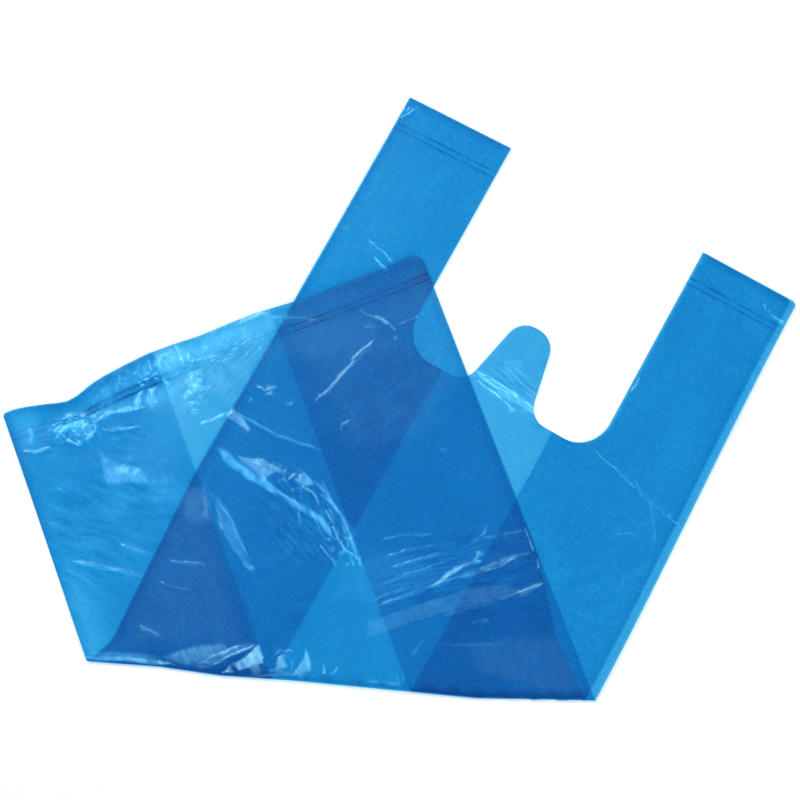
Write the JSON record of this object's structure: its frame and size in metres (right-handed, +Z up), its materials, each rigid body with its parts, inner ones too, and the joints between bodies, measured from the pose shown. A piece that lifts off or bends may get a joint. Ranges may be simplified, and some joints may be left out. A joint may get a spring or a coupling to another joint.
{
  "type": "plastic carrier bag",
  "caption": "Thin film vest carrier bag lying flat, its lower part folded diagonally over the upper part, with side gussets, cut-out handles and a mouth tab",
  "frame": {"origin": "centre of the folded bag's footprint, on the surface it lies on", "axes": "+X along the diagonal folded edge, +Y from that edge towards the handles, +Z up out of the surface"},
  "size_m": [0.4946, 0.3732, 0.0087],
  "materials": {
    "film": "translucent blue blown film, satin with small bright creases"
  },
  "bodies": {
    "root": {"carrier_bag": "film"}
  },
  "joints": []
}
